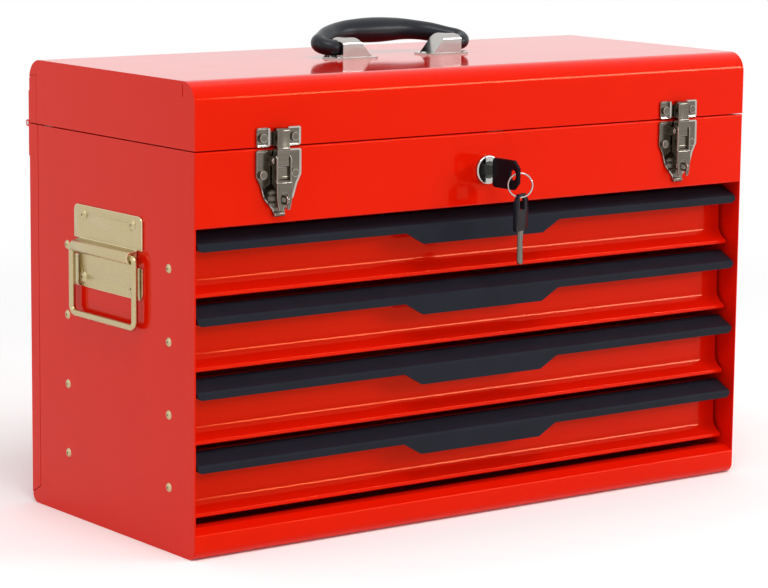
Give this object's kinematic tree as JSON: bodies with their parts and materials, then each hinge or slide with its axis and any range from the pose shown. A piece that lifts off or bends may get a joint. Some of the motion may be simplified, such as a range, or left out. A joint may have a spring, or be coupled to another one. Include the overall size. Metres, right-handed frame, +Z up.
{
  "type": "portable tool box with drawers",
  "caption": "Portable steel tool box with a hinged lid, lockable top compartment, ball-slide drawers, draw latches and carrying handles.",
  "frame": {"origin": "middle of the base, on the surface that the box stands on", "axes": "+X along the front to the right, -Y to the front where the drawers open, +Z up"},
  "size_m": [0.5402, 0.2771, 0.3698],
  "materials": {
    "red_paint": "high gloss",
    "black_pull": "satin",
    "black_grip": "satin",
    "bright_nickel": "polished",
    "pale_brass_steel": "satin plated",
    "zinc_steel": "zinc plated",
    "black_key": "gloss"
  },
  "bodies": {
    "case": {"case_wrap": "red_paint", "left_side_panel": "red_paint", "right_side_panel": "red_paint", "front_fascia": "red_paint", "till_floor": "red_paint", "lower_hinge_leaf": "red_paint", "hinge_pin": "zinc_steel", "slide_channels": "zinc_steel", "case_rivets": "pale_brass_steel", "side_handle_plates": "pale_brass_steel", "latch_bases": "bright_nickel", "lock_housing": "bright_nickel", "lock_nut": "zinc_steel", "lid_stay_case_stud": "zinc_steel"},
    "lid": {"lid_shell": "red_paint", "left_lid_end": "red_paint", "right_lid_end": "red_paint", "upper_hinge_leaf": "red_paint", "latch_strikes": "bright_nickel", "handle_brackets": "bright_nickel", "lid_rivets": "bright_nickel", "lock_catch": "zinc_steel", "lid_stay_lid_stud": "zinc_steel"},
    "top_handle": {"top_handle_rod": "bright_nickel", "top_handle_grip": "black_grip"},
    "left_bail": {"left_side_bail": "pale_brass_steel"},
    "right_bail": {"right_side_bail": "pale_brass_steel"},
    "left_lever": {"left_latch_lever": "bright_nickel"},
    "left_link": {"left_latch_link": "bright_nickel"},
    "right_lever": {"right_latch_lever": "bright_nickel"},
    "right_link": {"right_latch_link": "bright_nickel"},
    "lock": {"lock_plug": "bright_nickel", "lock_cam": "zinc_steel", "cam_screw": "zinc_steel", "key_blade": "bright_nickel", "key_bow": "black_key"},
    "ring": {"key_ring": "bright_nickel"},
    "stay": {"lid_stay": "zinc_steel"},
    "drawer_1": {"drawer_1_tray": "red_paint", "drawer_1_front": "red_paint", "drawer_1_pull": "black_pull", "drawer_1_runners": "zinc_steel"},
    "cages_1": {"drawer_1_ball_cages": "zinc_steel"},
    "drawer_2": {"drawer_2_tray": "red_paint", "drawer_2_front": "red_paint", "drawer_2_pull": "black_pull", "drawer_2_runners": "zinc_steel"},
    "cages_2": {"drawer_2_ball_cages": "zinc_steel"},
    "drawer_3": {"drawer_3_tray": "red_paint", "drawer_3_front": "red_paint", "drawer_3_pull": "black_pull", "drawer_3_runners": "zinc_steel"},
    "cages_3": {"drawer_3_ball_cages": "zinc_steel"},
    "drawer_4": {"drawer_4_tray": "red_paint", "drawer_4_front": "red_paint", "drawer_4_pull": "black_pull", "drawer_4_runners": "zinc_steel"},
    "cages_4": {"drawer_4_ball_cages": "zinc_steel"}
  },
  "joints": [
    {"name": "lid_hinge", "type": "hinge", "parent": "case", "child": "lid", "pos_m": [0, 0.118, 0.2932], "axis": [-1, 0, 0], "range_deg": [0, 95]},
    {"name": "stay_pivot", "type": "hinge", "parent": "lid", "child": "stay", "pos_m": [-0.25645, 0.09169, 0.30278], "axis": [-1, 0, 0], "range_deg": [-47.5, 0]},
    {"name": "top_handle_swing", "type": "hinge", "parent": "lid", "child": "top_handle", "pos_m": [0, 0, 0.3505], "axis": [1, 0, 0], "range_deg": [0, 146]},
    {"name": "left_bail_swing", "type": "hinge", "parent": "case", "child": "left_bail", "pos_m": [-0.2654, 0, 0.2095], "axis": [0, 1, 0], "range_deg": [0, 90]},
    {"name": "right_bail_swing", "type": "hinge", "parent": "case", "child": "right_bail", "pos_m": [0.2654, 0, 0.2095], "axis": [0, -1, 0], "range_deg": [0, 90]},
    {"name": "lock_turn", "type": "hinge", "parent": "case", "child": "lock", "pos_m": [0, -0.115, 0.265], "axis": [0, 1, 0], "range_deg": [0, 90]},
    {"name": "ring_swing", "type": "hinge", "parent": "lock", "child": "ring", "pos_m": [0, -0.1471, 0.264], "axis": [1, 0, 0], "range_deg": [-75, 8]},
    {"name": "left_latch_lift", "type": "hinge", "parent": "case", "child": "left_lever", "pos_m": [-0.19, -0.1196, 0.284], "axis": [-1, 0, 0], "range_deg": [0, 90]},
    {"name": "left_link_swing", "type": "hinge", "parent": "left_lever", "child": "left_link", "pos_m": [-0.19, -0.1194, 0.272], "axis": [-1, 0, 0], "range_deg": [-99, 0]},
    {"name": "right_latch_lift", "type": "hinge", "parent": "case", "child": "right_lever", "pos_m": [0.19, -0.1196, 0.284], "axis": [-1, 0, 0], "range_deg": [0, 90]},
    {"name": "right_link_swing", "type": "hinge", "parent": "right_lever", "child": "right_link", "pos_m": [0.19, -0.1194, 0.272], "axis": [-1, 0, 0], "range_deg": [-99, 0]},
    {"name": "drawer_1_slide", "type": "slide", "parent": "case", "child": "drawer_1", "axis": [0, -1, 0], "range_m": [0, 0.165]},
    {"name": "cages_1_slide", "type": "slide", "parent": "case", "child": "cages_1", "axis": [0, -1, 0], "range_m": [0, 0.0825]},
    {"name": "drawer_2_slide", "type": "slide", "parent": "case", "child": "drawer_2", "axis": [0, -1, 0], "range_m": [0, 0.165]},
    {"name": "cages_2_slide", "type": "slide", "parent": "case", "child": "cages_2", "axis": [0, -1, 0], "range_m": [0, 0.0825]},
    {"name": "drawer_3_slide", "type": "slide", "parent": "case", "child": "drawer_3", "axis": [0, -1, 0], "range_m": [0, 0.165]},
    {"name": "cages_3_slide", "type": "slide", "parent": "case", "child": "cages_3", "axis": [0, -1, 0], "range_m": [0, 0.0825]},
    {"name": "drawer_4_slide", "type": "slide", "parent": "case", "child": "drawer_4", "axis": [0, -1, 0], "range_m": [0, 0.165]},
    {"name": "cages_4_slide", "type": "slide", "parent": "case", "child": "cages_4", "axis": [0, -1, 0], "range_m": [0, 0.0825]}
  ],
  "couplings": [
    {"joint": "stay_pivot", "follows": "lid_hinge", "ratio": -0.5},
    {"joint": "left_link_swing", "follows": "left_latch_lift", "ratio": -1.1},
    {"joint": "right_link_swing", "follows": "right_latch_lift", "ratio": -1.1},
    {"joint": "cages_1_slide", "follows": "drawer_1_slide", "ratio": 0.5},
    {"joint": "cages_2_slide", "follows": "drawer_2_slide", "ratio": 0.5},
    {"joint": "cages_3_slide", "follows": "drawer_3_slide", "ratio": 0.5},
    {"joint": "cages_4_slide", "follows": "drawer_4_slide", "ratio": 0.5}
  ]
}
